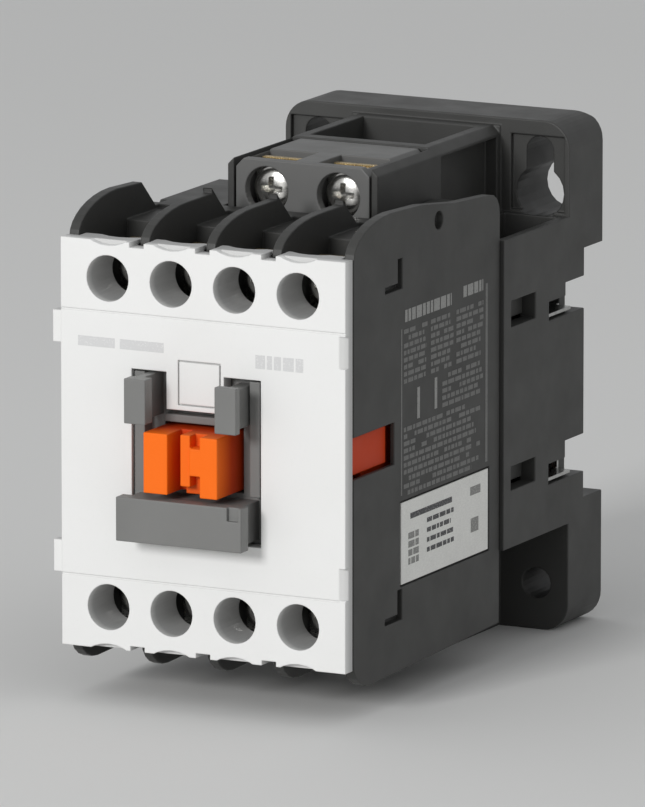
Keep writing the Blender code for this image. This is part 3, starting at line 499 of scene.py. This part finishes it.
def new_object(name, shape):
    """Turn a bmesh into an object in the scene."""
    bmesh.ops.recalc_face_normals(shape, faces=shape.faces)
    mesh = bpy.data.meshes.new(name)
    shape.to_mesh(mesh)
    shape.free()
    made = bpy.data.objects.new(name, mesh)
    bpy.context.scene.collection.objects.link(made)
    return made


def new_piece(name, shape, material, body):
    """Turn a bmesh into a piece that rides on a body."""
    made = new_object(name, shape)
    made.data.materials.append(material)
    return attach(made, body)


def body_of_node(node):
    """The body that a CAD node belongs to."""
    for body, members in frame["record"]["behaviour"]["bodies"].items():
        if node in members:
            return body


def join_rings(shape, rings):
    """Join each closed ring of points to the next."""
    for lower, upper in zip(rings, rings[1:]):
        for place in range(len(lower)):
            after = (place + 1) % len(lower)
            shape.faces.new((lower[place], lower[after], upper[after], upper[place]))


def solid_from_rings(shape, rings):
    """Join rings of points, and close the first and the last with a face."""
    join_rings(shape, rings)
    shape.faces.new(rings[0])
    shape.faces.new(rings[-1])


def smooth_shaded(made, sharp=SHARP):
    """Shade a piece smooth, apart from edges sharper than an angle."""
    made.data.shade_smooth()
    made.data.set_sharp_from_angle(angle=sharp)
    return made


def screw_ring(shape, centre, y, radius, thread=0.0):
    """Points round a screw's axis; thread is how far the thread's crest stands out there."""
    points = []
    for side in range(SCREW_SIDES):
        angle = TURN * side / SCREW_SIDES
        phase = (y / THREAD_PITCH - side / SCREW_SIDES) % 1.0
        reach = radius + thread * (1.0 - abs(2.0 * phase - 1.0))
        across, up = reach * math.cos(angle), reach * math.sin(angle)
        points.append(shape.verts.new((centre.x + across, y, centre.z + up)))
    return points


def screw(node, material):
    """Domed cross-recess screw with a cut thread, in the place of a plain CAD one."""
    low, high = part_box(node)
    centre = (low + high) / 2
    head_radius = (high.x - low.x) / 2
    head_back = low.y + SCREW_HEAD
    shape = bmesh.new()
    rings = []
    for step in range(1, DOME_STEPS + 1):
        tilt = TURN / 4.0 * step / DOME_STEPS
        sunk = SCREW_DOME * (1.0 - math.cos(tilt))
        rings.append(screw_ring(shape, centre, low.y + sunk, head_radius * math.sin(tilt)))
    rings.append(screw_ring(shape, centre, head_back, head_radius))
    rings.append(screw_ring(shape, centre, head_back, SCREW_NECK))
    for step in range(THREAD_STEPS + 1):
        y = head_back + (high.y - head_back) * step / THREAD_STEPS
        rings.append(screw_ring(shape, centre, y, SCREW_NECK, THREAD_HEIGHT))
    solid_from_rings(shape, rings)
    made = new_piece(f"{node}_turned", shape, material, body_of_node(node))
    cut_recess(made, Vector((centre.x, low.y, centre.z)))
    smooth_shaded(made)
    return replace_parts(made, node)


def recess_tool(face):
    """A cross that tapers from its mouth, in front of the head, to its floor."""
    width, length = CROSS_HALF_WIDTH, CROSS_HALF_LENGTH
    corners = [(length, width), (width, width), (width, length)]
    # each end's depth behind the face, and its share of the cross's full size
    mouth = (-0.3 * MM, 1.12)
    floor = (1.25 * MM, 0.55)
    tool = bmesh.new()
    rings = []
    for depth, share in (mouth, floor):
        points = []
        for quarter in range(4):
            turn = Matrix.Rotation(TURN / 4.0 * quarter, 2)
            for corner in corners:
                across, up = turn @ Vector(corner)
                place = (face.x + across * share, face.y + depth, face.z + up * share)
                points.append(tool.verts.new(place))
        rings.append(points)
    solid_from_rings(tool, rings)
    return new_object("recess", tool)


def cut_recess(made, face):
    """Sink a tapered cross into a screw's head."""
    tool = recess_tool(face)
    cut = made.modifiers.new("recess", "BOOLEAN")
    cut.object = tool
    cut.solver = "EXACT"
    bpy.context.view_layer.update()
    evaluated = made.evaluated_get(bpy.context.evaluated_depsgraph_get())
    made.data = bpy.data.meshes.new_from_object(evaluated)
    made.modifiers.clear()
    bpy.data.objects.remove(tool)
    remove_slivers(made.data)


def remove_slivers(mesh):
    """Split a mesh into triangles and dissolve those too thin to shade."""
    shape = bmesh.new()
    shape.from_mesh(mesh)
    bmesh.ops.triangulate(shape, faces=shape.faces)
    bmesh.ops.dissolve_degenerate(shape, dist=SLIVER, edges=shape.edges)
    shape.to_mesh(mesh)
    shape.free()


def screws(material):
    """Replace every terminal screw of the frame."""
    for node in frame["nodes"]:
        if "_screw_" in node:
            screw(node, material)


def wire_ring(shape, centre, along, height, angle, radius, wire):
    """Points round a spring's wire, where it stands at a height and an angle about the spring's axis."""
    first, second = [axis for axis in range(3) if axis != along]
    points = []
    for side in range(WIRE_SIDES):
        roll = TURN * side / WIRE_SIDES
        reach = radius + wire * math.cos(roll)
        place = Vector((0.0, 0.0, 0.0))
        place[along] = height + wire * math.sin(roll)
        place[first] = centre[first] + reach * math.cos(angle)
        place[second] = centre[second] + reach * math.sin(angle)
        points.append(shape.verts.new(place))
    return points


def spring(node, material, turns, wire, along, anchor_side):
    """Round-wire spring along Y or Z, with closed ends."""
    low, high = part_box(node)
    centre = (low + high) / 2
    size = high - low
    radius = size.x / 2 - wire
    span = size[along] - 2.0 * wire
    steps = turns * WIRE_STEPS
    shape = bmesh.new()
    rings = []
    for step in range(steps + 1):
        share = step / steps
        # the end turns lie nearly flat, and the ones between take up the length
        eased = share - math.sin(TURN * share) / TURN * SPRING_CLOSING
        height = low[along] + wire + span * eased
        rings.append(wire_ring(shape, centre, along, height, TURN * turns * share, radius, wire))
    solid_from_rings(shape, rings)
    made = smooth_shaded(new_piece(f"{node}_wire", shape, material, body_of_node(node)))
    axis = Vector((0.0, 0.0, 0.0))
    axis[along] = 1.0
    anchor = centre.copy()
    anchor[along] = low[along] if anchor_side == "low" else high[along]
    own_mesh(made)
    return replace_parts(made, node)


def springs(material):
    """The contact springs, the return springs and the clip's spring."""
    for pole in POLES:
        spring(f"contact_spring_{pole}", material, 5, 0.26 * MM, AXIS_Y, "low")
    for level in ("upper", "lower"):
        spring(f"return_spring_{level}", material, 8, 0.32 * MM, AXIS_Y, "high")
    spring("din_clip_spring", material, 8, 0.22 * MM, AXIS_Z, "low")


def winding_loop(shape, high, y, inset):
    """Rounded rectangle round the Y axis at one depth, drawn in from the winding's outside by an inset."""
    radius = max(WINDING_CORNER - inset, WINDING_INNER_CORNER)
    points = []
    for quarter, (right, up) in enumerate(((1, 1), (-1, 1), (-1, -1), (1, -1))):
        centre_x = (high.x - inset - radius) * right
        centre_z = (high.z - inset - radius) * up
        for step in range(CORNER_STEPS + 1):
            angle = TURN / 4.0 * (quarter + step / CORNER_STEPS)
            x = centre_x + radius * math.cos(angle)
            z = centre_z + radius * math.sin(angle)
            points.append(shape.verts.new((x, y, z)))
    return points


def winding(material):
    """Coil of side-by-side turns around the bobbin, one ripple for each turn."""
    low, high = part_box("coil_winding")
    length = high.y - low.y
    rows = int(length / WINDING_WIRE) * WINDING_SAMPLES
    shape = bmesh.new()
    rings = []
    for row in range(rows + 1):
        ripple = abs(math.sin(math.pi * row / WINDING_SAMPLES))
        y = low.y + length * row / rows
        rings.append(winding_loop(shape, high, y, WINDING_GROOVE * (1.0 - ripple)))
    rings.append(winding_loop(shape, high, high.y, WINDING_WALL))
    rings.append(winding_loop(shape, high, low.y, WINDING_WALL))
    rings.append(rings[0])
    join_rings(shape, rings)
    made = smooth_shaded(new_piece("coil_winding_turns", shape, material, "housing"), math.radians(60.0))
    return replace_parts(made, "coil_winding")


def print_marks(name, marks, plane, face, material):
    """Flat printed marks: rectangles of (start, end), (bottom, top), on a side or a front face."""
    shape = bmesh.new()
    for (start, end), (bottom, top) in marks:
        rings = []
        for depth in (0.0, INK_THICKNESS):
            points = []
            for across, up in ((start, bottom), (end, bottom), (end, top), (start, top)):
                place = (face + depth, across, up) if plane == "side" else (across, face - depth, up)
                points.append(shape.verts.new(place))
            rings.append(points)
        solid_from_rings(shape, rings)
    return new_piece(name, shape, material, "housing")


def text_row(start, end, bottom, height, chance, fill):
    """One row of short dashes that stands for a line of small print."""
    marks = []
    place = start
    while place < end:
        length = chance.uniform(*WORD_LENGTH)
        if chance.random() < fill:
            marks.append(((place, min(place + length, end)), (bottom, bottom + height)))
        place += length + WORD_GAP
    return marks


def text_rows(start, end, top, rows, pitch, height, seed, fill=0.9):
    """Rows of print below one another, each ending where chance has it."""
    chance = random.Random(seed)
    marks = []
    for row in range(rows):
        stop = start + (end - start) * chance.uniform(0.8, 1.0)
        marks += text_row(start, stop, top - height - row * pitch, height, chance, fill)
    return marks


def large_row(start, end, top, height, seed):
    """One row of larger print with no word left out."""
    return text_rows(start, end, top, 1, height, height, seed, fill=1.0)


def side_printing(materials):
    """Light printing on the housing's right side: a heading, bars and lines of small print."""
    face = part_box("main_housing")[1].x
    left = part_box("nameplate")[0].y + 0.6 * MM
    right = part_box("nameplate")[1].y - 1.6 * MM
    heading = large_row(left + 0.4 * MM, left + 17.5 * MM, 18.5 * MM, 1.7 * MM, seed=4)
    heading += large_row(right - 6.4 * MM, right + 0.6 * MM, 18.8 * MM, 1.6 * MM, seed=9)
    heading += [
        ((left + 4.2 * MM, left + 5.0 * MM), (2.6 * MM, 7.0 * MM)),
        ((left + 9.6 * MM, left + 10.4 * MM), (3.0 * MM, 7.4 * MM)),
    ]
    print_marks("side_print_heading", heading, "side", face, materials["print_bright"])
    columns = ((left, left + 7.6 * MM), (left + 8.4 * MM, left + 15.6 * MM), (left + 16.4 * MM, right))
    small = []
    for column, (start, end) in enumerate(columns):
        small += text_rows(start, end, 15.8 * MM, rows=8, seed=20 + column, **SMALL_PRINT)
    small += text_rows(left + 12.0 * MM, right, 7.4 * MM, rows=5, seed=27, **SMALL_PRINT)
    small += text_rows(left, right, 2.0 * MM, rows=10, seed=31, **SMALL_PRINT)
    small += [
        ((right + 0.6 * MM, right + 1.3 * MM), (-7.4 * MM, 18.0 * MM)),
        ((left - 0.9 * MM, left - 0.5 * MM), (-7.4 * MM, 16.0 * MM)),
    ]
    print_marks("side_print_lines", small, "side", face, materials["print_dim"])


def sticker_printing(materials):
    """Dark bars and blocks on the sticker."""
    low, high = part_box("nameplate")
    left, top = low.y, high.z
    lines = [((left + 2.8 * MM, left + 15.8 * MM), (top - 2.7 * MM, top - 1.9 * MM))]
    lines += text_rows(
        left + 8.0 * MM, left + 17.0 * MM, top - 3.5 * MM,
        rows=4, pitch=1.4 * MM, height=0.65 * MM, seed=5, fill=1.0,
    )
    print_marks("sticker_print_lines", lines, "side", high.x, materials["print_dark"])
    blocks = text_rows(
        left + 2.2 * MM, left + 6.0 * MM, top - 4.6 * MM,
        rows=4, pitch=1.2 * MM, height=0.9 * MM, seed=8, fill=1.0,
    )
    blocks += [
        ((left + 21.6 * MM, left + 24.8 * MM), (top - 2.9 * MM, top - 1.7 * MM)),
        ((left + 21.8 * MM, left + 24.2 * MM), (top - 8.2 * MM, top - 6.2 * MM)),
    ]
    print_marks("sticker_print_blocks", blocks, "side", high.x, materials["print_grey"])


def cover_printing(materials):
    """Faint grey bars left of the cover's tab, and one row of marks right of it."""
    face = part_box("front_cover")[0].y
    level = (13.2 * MM, 14.6 * MM)
    marks = [((-19.3 * MM, -13.6 * MM), level), ((-12.8 * MM, -6.0 * MM), level)]
    marks += large_row(8.2 * MM, 16.4 * MM, 14.2 * MM, 1.9 * MM, seed=12)
    print_marks("cover_print", marks, "front", face, materials["print_faint"])


def direction(azimuth, elevation):
    """Unit vector towards a viewer at an azimuth round from the front and an elevation, in degrees."""
    azimuth, elevation = math.radians(azimuth), math.radians(elevation)
    flat = math.cos(elevation)
    return Vector((math.sin(azimuth) * flat, -math.cos(azimuth) * flat, math.sin(elevation)))


def aimed(name, data, target, azimuth, elevation, distance):
    """Put a lamp or a camera at a distance from a target, turned towards it."""
    back = direction(azimuth, elevation)
    made = bpy.data.objects.new(name, data)
    made.location = target + back * distance
    made.rotation_euler = (-back).to_track_quat("-Z", "Y").to_euler()
    bpy.context.scene.collection.objects.link(made)
    return made


def pale_studio():
    """Floor, an even surround and one large soft lamp."""
    low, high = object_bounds()
    middle = (low + high) / 2
    bpy.ops.mesh.primitive_plane_add(size=FLOOR_SIZE, location=(middle.x, middle.y, low.z))
    floor = bpy.context.object
    floor.name = "studio_floor"
    floor.data.materials.append(pale_floor("studio_floor"))
    floor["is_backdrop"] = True
    world = bpy.data.worlds.new("studio_world")
    world.use_nodes = True
    background = world.node_tree.nodes["Background"]
    background.inputs["Color"].default_value = (*SURROUND_COLOUR, 1.0)
    background.inputs["Strength"].default_value = SURROUND
    bpy.context.scene.world = world
    light = bpy.data.lights.new("key_light", "AREA")
    light.energy = KEY_POWER
    light.size = KEY_SIZE
    aimed("key_light", light, middle, KEY_AZIMUTH, KEY_ELEVATION, KEY_DISTANCE)


def camera():
    """The camera at the photo's angle, aimed at the middle of the object."""
    low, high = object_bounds()
    lens = bpy.data.cameras.new("camera")
    lens.lens = VIEW_LENS
    lens.clip_end = VIEW_REACH
    middle = (low + high) / 2
    bpy.context.scene.camera = aimed("camera", lens, middle, VIEW_AZIMUTH, VIEW_ELEVATION, VIEW_DISTANCE)
    bpy.context.scene.view_settings.view_transform = "Standard"


materials = make_materials()
dress_frame(materials)
screws(materials["terminal_screw"])
springs(materials["coil_spring"])
winding(materials["winding"])
side_printing(materials)
sticker_printing(materials)
cover_printing(materials)
pale_studio()
camera()
